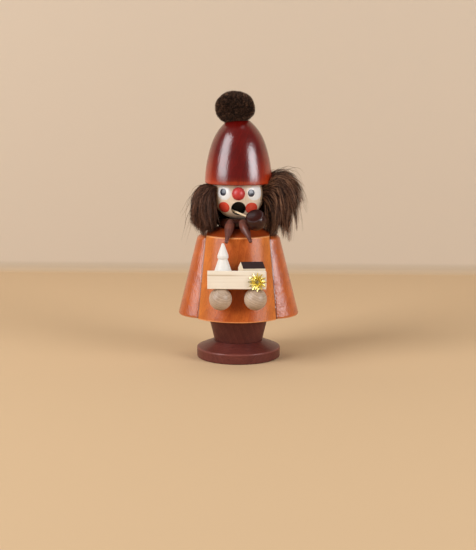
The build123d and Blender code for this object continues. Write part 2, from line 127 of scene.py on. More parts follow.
def mixed(tree, factor, first, second):
    """the first colour, giving way to the second as the factor grows"""
    made = add(tree, "Mix", {}, data_type="RGBA")
    for key, value in ((0, factor), (6, first), (7, second)):
        if isinstance(value, bpy.types.NodeSocket):
            tree.links.new(value, made.inputs[key])
        elif isinstance(value, tuple):
            made.inputs[key].default_value = (*value, 1)
        else:
            made.inputs[key].default_value = value
    return made.outputs[2]


def noise(tree, place, size, detail, roughness=0.5):
    """a cloudy pattern with clouds of a size in millimetres"""
    return add(tree, "TexNoise", {
        "Vector": place, "Scale": 1 / (size * MM), "Detail": detail, "Roughness": roughness,
    }).outputs["Fac"]


def relief(tree, pattern, strength, depth, bed=None, sunk=False):
    """a pattern felt in the light, its depth in millimetres, on top of another relief"""
    inputs = {"Height": pattern, "Strength": strength, "Distance": depth * MM}
    if bed is not None:
        inputs["Normal"] = bed
    return add(tree, "Bump", inputs, invert=sunk).outputs["Normal"]


def grain(tree, pith, lie, year):
    """the place in a blank, its year rings, long fibres and broad patches

    The pith's offset is in millimetres, the lie of the grain in degrees from straight
    up, and the year, which is the width of a ring, in millimetres.
    """
    coords = own_place(tree)
    laid = add(tree, "Mapping", {
        "Vector": coords,
        "Location": Vector(pith) * MM,
        "Rotation": [radians(a) for a in lie],
    }).outputs["Vector"]
    drawn = drawn_up(tree, laid, 1 / 22)
    ring_at_scale_one = pi / 10
    rings = add(tree, "TexWave", {
        "Vector": drawn,
        "Scale": ring_at_scale_one / (year * MM),
        "Distortion": 3.5,
        "Detail": 3.0,
        "Detail Scale": 1.6,
        "Detail Roughness": 0.6,
    }, wave_type="RINGS", rings_direction="Z", wave_profile="SAW").outputs["Fac"]
    fibres = noise(tree, drawn, 0.5, 4.0, 0.65)
    patches = noise(tree, laid, 14, 3.0, 0.55)
    return coords, laid, rings, fibres, patches


def near_level(tree, coords, level, reach):
    """one at a height in metres, falling to zero within a reach above and below it"""
    off = reckon(tree, "ABSOLUTE", reckon(tree, "SUBTRACT", along(tree, coords, "Z"), level))
    return ranged(tree, off, reach, 0.4 * reach, smooth=True)


def on_lit_flank(tree, coords, fibres, fade):
    """how far round to the side of a turning a spot lies as seen from the front, ragged along the
    fibres, for the painted light on its sides
    """
    outward = reckon_place(tree, "NORMALIZE", reckon_place(tree, "MULTIPLY", coords, (1, 1, 0)))
    sideways = reckon(tree, "ABSOLUTE", along(tree, outward, "X"))
    ragged = reckon(tree, "MULTIPLY_ADD", fibres, 0.3, sideways)
    share = ranged(tree, ragged, 0.4, 1.15, smooth=True)
    if fade:
        share = ranged(tree, along(tree, coords, "Z"), *fade, share, 0.0)
    return share


def stained_wood(name, pale, deep, pith=(0, 0, 0), lie=(0, 0, 0), gloss=0.3, peel=0.02,
                 year=2.4, varnish=0.8, shine=0.16, film=1.45, rubbed_and_lit=(), rubbed_and_lit_tone=None,
                 lit_flank=None, lit_flank_fade=None):
    """stained and varnished close-grained wood

    The peel is the height of the varnish's dimples in millimetres, and the film is how
    strongly the varnish mirrors. Rubbed and lit edges are lighter bands at given heights:
    on the rims, hems and brim edge they are painted highlights, on the pins worn stain.
    Each is a height in metres, a reach in millimetres and a strength. The lit flank is a
    paler tone painted on the sides of a turning as seen from the front, painted light
    where the side lamps fall; it may fade out between two heights.
    """
    material, tree = finish(name, {
        "Coat Weight": varnish,
        "Coat Roughness": shine,
        "Coat IOR": film,
        "Specular IOR Level": 0.08,
    })
    coords, laid, rings, fibres, patches = grain(tree, pith, lie, year)
    ring_tone = ramp(tree, rings, [(0.0, 0.15), (0.7, 0.55), (1.0, 0.95)])
    fibre_tone = ramp(tree, fibres, [(0.3, 0.0), (0.7, 1.0)])
    figure = mixed(tree, 0.5, ring_tone, fibre_tone)
    figure = mixed(tree, 0.35, figure, ramp(tree, patches, [(0.35, 0.0), (0.65, 1.0)]))
    tone = mixed(tree, figure, deep, pale)
    if lit_flank:
        deep_lit_flank = tuple(0.6 * c for c in lit_flank)
        share = on_lit_flank(tree, coords, fibres, lit_flank_fade)
        tone = mixed(tree, share, tone, mixed(tree, figure, deep_lit_flank, lit_flank))
    ray_noise = noise(tree, drawn_up(tree, laid, 0.16), 0.42, 1.0, 0.4)
    rays = ramp(tree, ray_noise, [(0.64, 0.0), (0.71, 1.0)])
    ray_tone = tuple(0.35 * c for c in deep)
    tone = mixed(tree, reckon(tree, "MULTIPLY", rays, 0.45), tone, ray_tone)
    # lighter bands at given heights: painted highlights on the rims, hems and brim, worn stain on
    # the pins
    for level, reach, strength in rubbed_and_lit:
        rubbed_and_lit_fibres = ramp(tree, fibres, [(0.3, 0.35 * strength), (0.6, strength)])
        edge = near_level(tree, coords, level, reach * MM)
        tone = mixed(tree, reckon(tree, "MULTIPLY", edge, rubbed_and_lit_fibres), tone, rubbed_and_lit_tone)
    bed = relief(tree, fibres, 0.25, 0.03)
    bed = relief(tree, rays, 0.3, 0.02, bed, sunk=True)
    dimples = noise(tree, coords, 1.2, 1.5)
    wire(tree, {
        "Base Color": tone,
        "Roughness": ranged(tree, fibres, 0.0, 1.0, gloss - 0.05, gloss + 0.1),
        "Normal": bed,
        "Coat Normal": relief(tree, dimples, 1.0, peel, bed),
    })
    return material


def give(material, *names):
    """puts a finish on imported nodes"""
    for name in names:
        for held in nodes[name].material_slots:
            held.material = material


foot_rim_level = 7.4 * MM
# the lighter band at the rim is a painted highlight
foot_stain = stained_wood(
    "foot_stain", pale=(0.160, 0.040, 0.029), deep=(0.073, 0.015, 0.012),
    pith=(4, -3, 0), lie=(0, 84, 0), gloss=0.45, peel=0.03, varnish=0.45, shine=0.2,
    rubbed_and_lit=((foot_rim_level, 0.8, 0.6),), rubbed_and_lit_tone=(0.26, 0.085, 0.065),
)
give(foot_stain, "foot_disc")
trouser_stain = stained_wood(
    "trouser_stain", pale=(0.136, 0.037, 0.026), deep=(0.066, 0.016, 0.012),
    pith=(9, 5, 0), gloss=0.48, varnish=0.3, shine=0.26,
)
give(trouser_stain, "trousers")


# Incense plate and its tack.
# A dish pressed from tinplate, blued and sooted by the cones burnt on it,
# nailed to the plug with one round-headed steel tack.

plate_centre = sum(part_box("incense_plate"), Vector()) / 2
soot_radius, clean_radius, ragged_by = 4 * MM, 15 * MM, 6 * MM

tinplate, tree = finish("burnt_tinplate", {"Metallic": 1.0})
coords = own_place(tree)
from_centre = reckon_place(tree, "DISTANCE", coords, plate_centre)
ragged = reckon(tree, "MULTIPLY_ADD", noise(tree, coords, 3, 4.0), ragged_by, from_centre)
burn = ranged(tree, ragged, soot_radius, clean_radius)
wire(tree, {
    "Base Color": ramp(tree, burn, [
        (0.0, (0.03, 0.025, 0.02)), (0.35, (0.16, 0.10, 0.05)),
        (0.6, (0.30, 0.27, 0.30)), (1.0, (0.62, 0.60, 0.57)),
    ]),
    "Roughness": ramp(tree, burn, [(0.0, 0.75), (1.0, 0.3)]),
})
give(tinplate, "incense_plate")

tack_steel, tree = finish("tack_steel", {"Metallic": 1.0, "Base Color": (0.62, 0.60, 0.57, 1)})
scuffs = noise(tree, own_place(tree), 0.4, 3.0)
wire(tree, {"Roughness": ramp(tree, scuffs, [(0.3, 0.18), (0.7, 0.42)])})
give(tack_steel, "plate_tack", "star_tack")


# Coat and arms.
# One hollow turning and two slices of a second one, glued to its flats.
# Orange-brown stain, thicker varnish: the arms show it dimpled like peel.

# how far from the axis the glued flats stand, at the hem and at the top of the arms
SEAT_AT_HEM, SEAT_AT_RIM = 29.3 * MM, 23.7 * MM
hem_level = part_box("arm_left")[0].z
rim_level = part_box("arm_left")[1].z + 0.5 * MM


def tinted(material, share, tone):
    """lays another tone over a finished material's own, where a share says so"""
    tree = material.node_tree
    own_tone = tree.nodes["Principled BSDF"].inputs["Base Color"].links[0].from_socket
    wire(tree, {"Base Color": mixed(tree, share, own_tone, tone)})


def shade_joint(material, clear, full, strength):
    """painted shade along the two glued flats, between two distances outside them"""
    tree = material.node_tree
    coords = own_place(tree)
    lean = (SEAT_AT_HEM - SEAT_AT_RIM) / (rim_level - hem_level)
    sideways = reckon(tree, "ABSOLUTE", along(tree, coords, "X"))
    upright = reckon(tree, "MULTIPLY_ADD", along(tree, coords, "Z"), lean, sideways)
    outside = reckon(tree, "SUBTRACT", upright, SEAT_AT_HEM + lean * hem_level)
    share = ranged(tree, outside, clear * MM, full * MM, 0.0, strength)
    tinted(material, share, (0.10, 0.014, 0.004))


# the paler tone on the coat's sides is painted light, and the lighter bands at its rim and hem
# are painted highlights
coat_stain = stained_wood(
    "coat_stain", pale=(0.58, 0.14, 0.022), deep=(0.32, 0.050, 0.007),
    pith=(13, 8, 0), gloss=0.46, peel=0.12, year=3.2, varnish=0.6, shine=0.22,
    rubbed_and_lit=((rim_level, 0.7, 1.0), (hem_level + 0.4 * MM, 0.7, 0.8)),
    rubbed_and_lit_tone=(0.85, 0.36, 0.13), lit_flank=(0.76, 0.235, 0.045),
)
# the shoulder above the rim is painted a darker red, a painted shade
tree = coat_stain.node_tree
height = along(tree, own_place(tree), "Z")
shoulder_shade = ranged(tree, height, rim_level + 0.2 * MM, rim_level + 0.7 * MM)
tinted(coat_stain, shoulder_shade, (0.32, 0.048, 0.008))
# a faint painted shade along the coat's side of the joints
shade_joint(coat_stain, -0.4, -0.1, 0.3)
give(coat_stain, "coat")

# the lighter band at the hem is a painted highlight
arm_stain = stained_wood(
    "arm_stain", pale=(0.60, 0.140, 0.022), deep=(0.32, 0.050, 0.007),
    pith=(6, -9, 0), gloss=0.38, peel=0.42, year=2.6, varnish=1.0, shine=0.12, film=1.66,
    rubbed_and_lit=((hem_level + 0.6 * MM, 0.8, 0.8),), rubbed_and_lit_tone=(0.70, 0.22, 0.06),
)
# a strong painted shade along the arms' side of the joints
shade_joint(arm_stain, 1.2, 0.35, 0.9)
give(arm_stain, "arm_right", "arm_left")


# Collar and scarf ends.
# The scarf is a turned ring around the neck in a plum-brown stain, and its two
# hanging ends are turned pins glued in below it, their stain a little paler.

scarf_stain = stained_wood(
    "scarf_stain", pale=(0.070, 0.016, 0.008), deep=(0.030, 0.006, 0.003),
    pith=(3, 2, 0), lie=(12, 0, 0), gloss=0.33, shine=0.2,
)
give(scarf_stain, "collar")
pin_top_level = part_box("collar")[0].z + 3.4 * MM
pin_stain = stained_wood(
    "pin_stain", pale=(0.185, 0.068, 0.048), deep=(0.070, 0.021, 0.015),
    pith=(3, 2, 0), lie=(12, 0, 0), gloss=0.42, varnish=0.6, shine=0.26,
    rubbed_and_lit=((pin_top_level, 2.2, 0.4),), rubbed_and_lit_tone=(0.28, 0.085, 0.050),
)
give(pin_stain, "scarf_end_right", "scarf_end_left")


# Head.
# A turned ball of pale wood under thin varnish, with the mouth bored in.
# White eyes, blue-black pupils and red cheeks are dots of thick paint.

# the face looks a little to the figure's left, and the ball is turned flat under the hat
FACE_TURN = radians(2.5)
TOP_FLAT = 5 * MM
head_low, head_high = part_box("head")
head_radius = (head_high.x - head_low.x) / 2
head_middle = Vector((0, 0, head_high.z - head_radius + TOP_FLAT))


def dot_place(azimuth, rise):
    """the middle of a painted dot, by its turn from straight ahead and its rise"""
    level = (head_radius ** 2 - (rise * MM) ** 2) ** 0.5
    turn = radians(azimuth) + FACE_TURN
    return head_middle + Vector((level * sin(turn), -level * cos(turn), rise * MM))


cheek_red, eye_white, pupil_blue = (0.70, 0.065, 0.036), (0.84, 0.84, 0.82), (0.014, 0.014, 0.030)
# a dabbed dot is round as seen from the front, so its depth counts for little, and a
# stamped one is round on the ball
dabbed, stamped = (1, 0.3, 1), (1, 1, 1)
# degrees round from straight ahead, rise above the middle and width in millimetres
painted_dots = (
    (-37.5, -9.5, 8.6, dabbed, cheek_red),
    (33.8, -10.1, 9.0, dabbed, cheek_red),
    (-32.2, 1.5, 10.4, dabbed, eye_white),
    (37.1, 1.3, 10.7, dabbed, eye_white),
    (-35.2, 2.1, 5.5, stamped, pupil_blue),
    (28.7, 1.5, 5.6, stamped, pupil_blue),
)

face_wood, tree = finish("face_wood", {
    "Coat Weight": 0.5, "Coat Roughness": 0.18, "Specular IOR Level": 0.4,
})
coords, _, rings, fibres, _ = grain(tree, pith=(5, 11, 0), lie=(0, 0, 0), year=2.2)
figure = mixed(tree, 0.5, ramp(tree, rings, [(0.0, 0.1), (1.0, 0.8)]),
               ramp(tree, fibres, [(0.3, 0.0), (0.7, 1.0)]))
skin = mixed(tree, figure, (0.72, 0.56, 0.41), (0.86, 0.74, 0.59))
paint_cover = paint_height = 0.0
for azimuth, rise, width, depth_share, colour in painted_dots:
    away = reckon_place(tree, "SUBTRACT", coords, dot_place(azimuth, rise))
    away = reckon_place(tree, "MULTIPLY", away, depth_share)
    wobble = noise(tree, coords, 2.4, 1.0)
    reach = reckon(tree, "MULTIPLY_ADD", wobble, 0.35 * MM, reckon_place(tree, "LENGTH", away))
    rim = width * MM / 2
    cover = ranged(tree, reach, rim + 0.28 * MM, rim + 0.08 * MM)
    crown = ranged(tree, reach, rim + 0.3 * MM, rim - 0.8 * MM, smooth=True)
    skin = mixed(tree, cover, skin, colour)
    paint_cover = reckon(tree, "MAXIMUM", paint_cover, cover)
    paint_height = reckon(tree, "ADD", paint_height, crown)
# the bore is painted nearly black inside, a painted shade that deepens the mouth
from_middle = reckon_place(tree, "DISTANCE", coords, head_middle)
in_mouth = ranged(tree, from_middle, head_radius - 0.5 * MM, head_radius - 4.5 * MM)
mouth_shade = ramp(tree, in_mouth, [(0.0, 0.0), (0.1, 0.55), (0.35, 0.85), (0.8, 1.0)])
wire(tree, {
    "Base Color": mixed(tree, mouth_shade, skin, (0.014, 0.008, 0.004)),
    "Roughness": ranged(tree, paint_cover, 0.0, 1.0, 0.42, 0.2),
    "Normal": relief(tree, paint_height, 0.6, 0.2, relief(tree, fibres, 0.2, 0.03)),
})
give(face_wood, "head")


# Nose.
# A wooden bead in thin red lacquer, half matte, with dust specks in it,
# glued into the ball by its peg.

lacquer, tree = finish("red_lacquer", {
    "Roughness": 0.5, "Coat Weight": 0.35, "Coat Roughness": 0.3,
})
specks = noise(tree, own_place(tree), 0.5, 2.0)
speck_share = ramp(tree, specks, [(0.4, 0.0), (0.7, 1.0)])
wire(tree, {
    "Base Color": mixed(tree, speck_share, (0.40, 0.014, 0.014), (0.62, 0.045, 0.036)),
    "Coat Normal": relief(tree, specks, 0.5, 0.05),
})
give(lacquer, "nose")


# Pipe.
# A ball in a nearly black stain with a shallow dished flat on it,
# glued to a thin rod of bare pale wood that comes from the mouth.

pipe_stain = stained_wood(
    "pipe_stain", pale=(0.040, 0.008, 0.005), deep=(0.014, 0.003, 0.002),
    pith=(-10, 20, -100), lie=(40, 20, 0), gloss=0.34, varnish=0.65,
)
give(pipe_stain, "pipe_bowl")


def bare_wood(name, pale, deep, pith=(0, 0, 0), lie=(0, 0, 0), year=1.6, contrast=0.6,
              varnish=0.0, gloss=0.55):
    """pale sanded wood without stain"""
    material, tree = finish(name, {
        "Coat Weight": varnish, "Coat Roughness": 0.25, "Specular IOR Level": 0.3,
    })
    _, _, rings, fibres, patches = grain(tree, pith, lie, year)
    ring_tone = ramp(tree, rings, [(0.0, 0.0), (0.75, contrast), (1.0, 1.0)])
    figure = mixed(tree, 0.45, ring_tone, ramp(tree, fibres, [(0.3, 0.0), (0.7, 1.0)]))
    figure = mixed(tree, 0.25, figure, ramp(tree, patches, [(0.35, 0.0), (0.65, 1.0)]))
    wire(tree, {
        "Base Color": mixed(tree, figure, deep, pale),
        "Roughness": ranged(tree, fibres, 0.0, 1.0, gloss - 0.06, gloss + 0.1),
        "Normal": relief(tree, fibres, 0.35, 0.04),
    })
    return material


stem_wood = bare_wood("stem_wood", (0.86, 0.70, 0.48), (0.62, 0.45, 0.27),
                      lie=(0, 82, 38), year=0.8)
give(stem_wood, "pipe_stem", "hat_dowel", "hand_dowels")


# Hat.
# A tall cap turned from one blank, hollowed over the ball and doweled to it.
# Deep red stain under a thick, even varnish. It is painted paler towards the brim, with a painted
# highlight along the brim's edge and painted light on its lower sides.

brim_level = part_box("hat")[0].z
# the hat is painted paler towards the brim, the narrow lighter band is a painted highlight on the
# brim's edge, and the paler tone on its lower sides is painted light
hat_stain = stained_wood(
    "hat_stain", pale=(0.15, 0.003, 0.001), deep=(0.070, 0.0015, 0.0005),
    pith=(7, 10, 0), gloss=0.4, peel=0.13, year=3.0, varnish=1.0, shine=0.15, film=1.66,
    rubbed_and_lit=((brim_level - 2 * MM, 9.0, 0.25), (brim_level + 1.9 * MM, 1.6, 0.5)),
    rubbed_and_lit_tone=(0.45, 0.05, 0.010),
    lit_flank=(0.42, 0.030, 0.003), lit_flank_fade=(brim_level + 4 * MM, brim_level + 26 * MM),
)
give(hat_stain, "hat")


# Pompom.
# A ball of short dark fur, clipped round and glued to the hat's flat top.
# Its roots are painted nearly black, a painted shade deep in the pile, and its clipped ends a
# lighter brown.

def fur_coat(name, root, middle, tip, mottle):
    """one colour of pile, painted dark at the roots as a painted shade deep in the pile, every
    hair a little different
    """
    material, tree = finish(name, {"Roughness": 0.55, "Specular IOR Level": 0.25})
    from_root = add(tree, "Attribute", {}, attribute_name="along").outputs["Fac"]
    lot = add(tree, "Attribute", {}, attribute_name="shade").outputs["Fac"]
    tone = ramp(tree, from_root, [(0.0, root), (0.3, root), (0.58, middle), (1.0, tip)])
    cloud = noise(tree, own_place(tree), 1.8, 2.0)
    cloud = ranged(tree, cloud, 0.35, 0.65, 1 - mottle, 1 + mottle)
    light = ranged(tree, reckon(tree, "POWER", lot, 2.2), 0.0, 1.0, 0.6, 1.5)
    toned = add(tree, "VectorMath", {
        0: tone, "Scale": reckon(tree, "MULTIPLY", light, cloud),
    }, operation="SCALE")
    wire(tree, {"Base Color": toned.outputs["Vector"]})
    return material


def pile(name, hairs, width, coat, body):
    """one piece of fur: every row of points in millimetres becomes a tapered closed hair"""
    count, steps, _ = hairs.shape
    curve = bpy.data.curves.new(name, "CURVE")
    curve.dimensions = "3D"
    curve.bevel_depth = width * MM / 2
    curve.bevel_resolution = 0
    curve.use_fill_caps = True
    from_root = np.linspace(0, 1, steps)
    taper = 1 - 0.85 * from_root ** 2.2
    spots = np.ones((count, steps, 4))
    spots[:, :, :3] = hairs * MM
    for points in spots:
        spline = curve.splines.new("POLY")
        spline.points.add(steps - 1)
        spline.points.foreach_set("co", points.ravel())
        spline.points.foreach_set("radius", taper)
    holder = bpy.data.objects.new(name + "_lines", curve)
    bpy.context.scene.collection.objects.link(holder)
    bpy.context.view_layer.update()
    drawn = holder.evaluated_get(bpy.context.evaluated_depsgraph_get())
    mesh = bpy.data.meshes.new_from_object(drawn)
    bpy.data.objects.remove(holder)
    corners = len(mesh.vertices) // (count * steps)
    lots = np.random.default_rng(count).random(count)
    for key, values in (
        ("along", np.tile(np.repeat(from_root, corners), count)),
        ("shade", np.repeat(lots, steps * corners)),
    ):
        attribute = mesh.attributes.new(key, "FLOAT", "POINT")
        attribute.data.foreach_set("value", values.astype(np.float32))
    mesh.materials.clear()
    mesh.materials.append(coat)
    piece = bpy.data.objects.new(name, mesh)
    bpy.context.scene.collection.objects.link(piece)
    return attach(piece, body)


def unit(rows):
    """rows of vectors brought to length one"""
    return rows / np.linalg.norm(rows, axis=-1, keepdims=True)


def hump(way, sideways, upward, height, tightness):
    """a soft rise or dent of a ball's surface around one direction, seen from the front"""
    off = (way[:, 0] - sideways) ** 2 + (way[:, 2] - upward) ** 2
    return height * np.exp(-tightness * off)


bulge_right_and_down = (0.7, 0, 1.2)
pompom_low, pompom_high = (np.array(corner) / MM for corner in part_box("pompom"))
pompom_low -= bulge_right_and_down
pompom_middle = (pompom_low + pompom_high) / 2
pompom_half = (pompom_high - pompom_low) / 2
clipped_fur = fur_coat("clipped_fur", (0.012, 0.005, 0.003), (0.058, 0.024, 0.014),
                       (0.24, 0.125, 0.072), mottle=0.75)
clipped_count, clipped_length, clipped_width = 7000, 5.5, 0.36
draw = np.random.default_rng(7)


def clipped_ball(count, length):
    """short hairs out of a lumpy ball, from below the surface to the clipped ends"""
    way = unit(draw.normal(size=(count, 3)))
    lumps = (0.035 * np.sin(3.1 * way[:, 0] + 1.0) * np.cos(2.7 * way[:, 2])
             + hump(way, 0.93, -0.22, 0.05, 8) + hump(way, -0.66, 0.74, -0.05, 7))
    reach = 0.985 + lumps + draw.uniform(-0.045, 0.03, count)
    end = pompom_middle + way * pompom_half * reach[:, None]
    lean = unit(way + draw.uniform(-0.5, 0.5, way.shape))
    start = end - lean * (length * draw.uniform(0.8, 1.2, count))[:, None]
    steps = np.linspace(0, 1, 4)[None, :, None]
    bend = draw.uniform(-0.7, 0.7, (count, 1, 3)) * np.sin(pi * steps)
    return start[:, None] + (end - start)[:, None] * steps + bend


for part in range(2):
    hairs = clipped_ball(clipped_count, clipped_length)
    tuft = pile(f"pompom_fur_{part + 1}", hairs, clipped_width, clipped_fur, "figure")
    if part == 0:
        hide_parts("pompom")


# Hair.
# A strip of long-haired fur glued round the back of the head under the hat.
# It falls beside the face on the right and stands up and out on the left.

# the one strip of fur is coloured twice, as painted light: beside the face on the viewer's left
# its middles are painted brightest and its tips darker, behind and on the viewer's right its tips
# are painted brightest
fur_lit_at_middles = fur_coat("fur_lit_at_middles", (0.030, 0.012, 0.006), (0.200, 0.088, 0.050),
                    (0.130, 0.045, 0.018), mottle=0.25)
fur_lit_at_tips = fur_coat("fur_lit_at_tips", (0.016, 0.006, 0.003), (0.135, 0.052, 0.025),
                    (0.46, 0.225, 0.115), mottle=0.25)
hair_count, hair_steps, hair_width = 3000, 8, 0.27
lock_count, lock_pull = 90, 0.55
draw = np.random.default_rng(11)

# how a lock runs, innermost to outermost: distance from the axis and height, root to tip
combed = {
    "right": (
        ((20.9, 125), (21.3, 121), (21.0, 115), (20.3, 109), (19.6, 103), (19.4, 97.5)),
        ((20.9, 129), (25.0, 128), (28.3, 120), (28.8, 110), (28.0, 103), (26.5, 96.3)),
        ((20.9, 131), (27.5, 131), (33.3, 126), (35.3, 115), (34.3, 105), (31.0, 95)),
    ),
    "left": (
        ((20.9, 121), (22.0, 118), (22.6, 112), (22.4, 107), (22.0, 102), (22.0, 97)),
        ((20.9, 128), (26.5, 130.5), (34.0, 128.5), (38.8, 119), (39.3, 106), (37.8, 93.5)),
        ((20.9, 131), (25.5, 136), (33.5, 141.5), (42.0, 138), (46.5, 129), (47.3, 117)),
    ),
    "back": (
        ((20.9, 123), (21.6, 119), (21.8, 113), (21.4, 108), (20.8, 104), (20.2, 100)),
        ((20.9, 128), (24.5, 127), (27.0, 119), (27.5, 110), (27.0, 103), (25.5, 97)),
        ((20.9, 131), (26.5, 131), (31.0, 124), (32.0, 114), (31.0, 105), (28.5, 97)),
    ),
}


def combed_hair(side, azimuths, drift):
    """hairs rooted on the hide strip that follow the run of the locks on their side"""
    layer = 2 * draw.random(hair_count)
    inner = np.minimum(layer.astype(int), 1)
    runs = np.array(combed[side])
    blend = (layer - inner)[:, None, None]
    run = runs[inner] * (1 - blend) + runs[inner + 1] * blend
    last = runs.shape[1] - 1
    length = (draw.uniform(0.74, 1.14, hair_count) - 0.1 * layer)[:, None] * last
    share = np.linspace(0, 1, hair_steps)[None]
    place = share * length
    before = np.minimum(place.astype(int), last - 1)
    part = (place - before)[..., None]
    rows = np.arange(hair_count)[:, None]
    path = run[rows, before] * (1 - part) + run[rows, before + 1] * part
    path[:, 1:-1] = 0.5 * path[:, 1:-1] + 0.25 * (path[:, 2:] + path[:, :-2])
    turn = draw.uniform(*azimuths, hair_count)[:, None]
    inward = (sum(azimuths) / 2 - turn) * drift * share
    turn = turn + inward + draw.normal(0, 8, hair_count)[:, None] * share
    turn = np.radians(turn) + FACE_TURN
    ring = path[..., 0]
    hair = np.stack([ring * np.sin(turn), -ring * np.cos(turn), path[..., 1]], 2)
    wave = np.cumsum(draw.normal(0, 0.38, hair.shape), axis=1)
    stray = draw.choice([0.9, 2.6, 6.5], hair_count, p=[0.90, 0.08, 0.02])[:, None, None]
    wildness = stray * (0.4 + 0.7 * layer[:, None, None]) * share[..., None] ** 1.5
    return hair + wave + draw.normal(0, 1, (hair_count, 1, 3)) * wildness


def gathered(hair):
    """hairs drawn together towards their ends into pointed locks, the outer ones astray"""
    leaders = hair[draw.choice(len(hair), lock_count, replace=False)]
    between = np.linalg.norm(hair[:, None, -1] - leaders[None, :, -1], axis=2)
    nearest = np.argmin(between, axis=1)
    share = np.linspace(0, 1, hair.shape[1])[None, :, None] ** 1.6
    reach = np.linalg.norm(leaders[:, -1:, :2], axis=2, keepdims=True)
    freedom = np.clip(reach / 14 - 1.0, 0.4, 2.0)
    astray = draw.normal(0, 1.5, (lock_count, 1, 3)) * freedom * share
    return hair + (leaders[nearest] - hair) * share * lock_pull + astray[nearest]


skin_radius = head_radius / MM + 0.9
skin_middle = np.array(head_middle) / MM
hat_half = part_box("hat")[1].x / MM + 0.4
under_brim = brim_level / MM - 0.3
pushed_down_within = 2.5
bowl_low, bowl_high = (np.array(corner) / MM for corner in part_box("pipe_bowl"))
bowl_clearance = 3


def kept_clear(hair):
    """hair held outside the ball and the hat, and behind the pipe's bowl"""
    bowl_half = (bowl_high - bowl_low) / 2 + bowl_clearance
    across = np.abs(hair - (bowl_low + bowl_high) / 2) < bowl_half
    at_bowl = across[..., 0] & across[..., 2]
    hair = hair.copy()
    hair[..., 1] = np.where(at_bowl, np.maximum(hair[..., 1], bowl_high[1]), hair[..., 1])
    off = hair - skin_middle
    far = np.linalg.norm(off, axis=2, keepdims=True)
    hair = np.where(far < skin_radius, skin_middle + off / far * skin_radius, hair)
    flat = hair[..., :2]
    ring = np.linalg.norm(flat, axis=2, keepdims=True)
    inside = (hair[..., 2:] > under_brim) & (ring < hat_half)
    beside = np.concatenate([flat / ring * hat_half, hair[..., 2:]], axis=2)
    under = np.concatenate([flat, np.minimum(hair[..., 2:], under_brim)], axis=2)
    moved = np.where(ring > hat_half - pushed_down_within, beside, under)
    return np.where(inside, moved, hair)


for name, side, azimuths, drift, coat, stands_for in (
    ("hair_right_1", "right", (-128, -52), 0.2, fur_lit_at_middles, "fur_right"),
    ("hair_right_2", "right", (-128, -52), 0.2, fur_lit_at_middles, None),
    ("hair_left_1", "left", (62, 132), 0.15, fur_lit_at_tips, "fur_left"),
    ("hair_left_2", "left", (62, 132), 0.15, fur_lit_at_tips, None),
    ("hair_back_1", "back", (122, 238), 0.1, fur_lit_at_tips, "fur_back"),
    ("hair_back_2", "back", (122, 238), 0.1, fur_lit_at_tips, None),
):
    hairs = kept_clear(gathered(combed_hair(side, azimuths, drift)))
    tuft = pile(name, hairs, hair_width, coat, "figure")
    if stands_for:
        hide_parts(stands_for)

suede, tree = finish("suede_hide", {"Roughness": 0.9, "Specular IOR Level": 0.15})
coords = own_place(tree)
nap = noise(tree, coords, 0.6, 5.0)
faced = add(tree, "Mapping", {"Vector": coords, "Rotation": (0, 0, -FACE_TURN)}).outputs["Vector"]
parts = add(tree, "SeparateXYZ", {0: faced}).outputs
sideways = reckon(tree, "ABSOLUTE", parts["X"])
ahead = reckon(tree, "DIVIDE", parts["Y"], sideways)
cut_end = ranged(tree, ahead, -0.62, -0.64)
hide_tone = mixed(tree, nap, (0.05, 0.03, 0.02), (0.12, 0.075, 0.05))
wire(tree, {
    "Base Color": mixed(tree, cut_end, hide_tone, (0.50, 0.38, 0.26)),
    "Normal": relief(tree, nap, 0.6, 0.1),
})
give(suede, "hide_strip")


# Hands and tray.
# Two bare balls, their grain lying askew, under a length of planed moulding
# whose grain runs from end to end with one dark year line near the top.

hand_wood = bare_wood("hand_wood", (0.64, 0.50, 0.37), (0.27, 0.18, 0.12), pith=(2, 30, -40),
                      lie=(20, 62, 10), year=1.7, contrast=0.4, varnish=0.2, gloss=0.42)
give(hand_wood, "hand_right", "hand_left")
tray_wood = bare_wood("tray_wood", (0.83, 0.75, 0.62), (0.73, 0.63, 0.49), pith=(0, 38, -70),
                      lie=(0, 90, 0), year=2.6)
tree = tray_wood.node_tree
coords = own_place(tree)
line_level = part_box("tray")[1].z - 3.3 * MM
year_line = near_level(tree, coords, line_level, 0.75 * MM)
fading = ranged(tree, along(tree, coords, "X"), 12 * MM, -4 * MM)
year_line = reckon(tree, "MULTIPLY", reckon(tree, "MULTIPLY", year_line, fading), 0.6)
tinted(tray_wood, year_line, (0.42, 0.30, 0.17))
give(tray_wood, "tray")


# Tree.
# Turned in one piece with its peg and brushed white while it still turned,
# which left faint level rings in the paint.

tree_paint, tree = finish("tree_paint", {"Specular IOR Level": 0.4})
brushing = noise(tree, drawn_up(tree, own_place(tree), 4), 1.5, 3.0)
wire(tree, {
    "Base Color": mixed(tree, brushing, (0.66, 0.63, 0.57), (0.80, 0.77, 0.72)),
    "Roughness": ramp(tree, brushing, [(0.3, 0.35), (0.7, 0.5)]),
    "Normal": relief(tree, brushing, 0.35, 0.05),
})
give(tree_paint, "tree")


# House.
# A slice of gabled moulding in bare wood, its two roof slopes painted
# a dark brown that stops sharply at the eaves and at the sawn ends.

house_wood = bare_wood("house_wood", (0.80, 0.69, 0.52), (0.66, 0.53, 0.37),
                       lie=(0, 90, 7), year=1.4)
tree = house_wood.node_tree
facing = add(tree, "NewGeometry", {}).outputs["Normal"]
on_roof = ranged(tree, along(tree, facing, "Z"), 0.25, 0.3)
tinted(house_wood, on_roof, (0.025, 0.0095, 0.008))
give(house_wood, "house")


# Foil star.
# Rays cut from gold film, bent and creased by hand, held by a small tack.

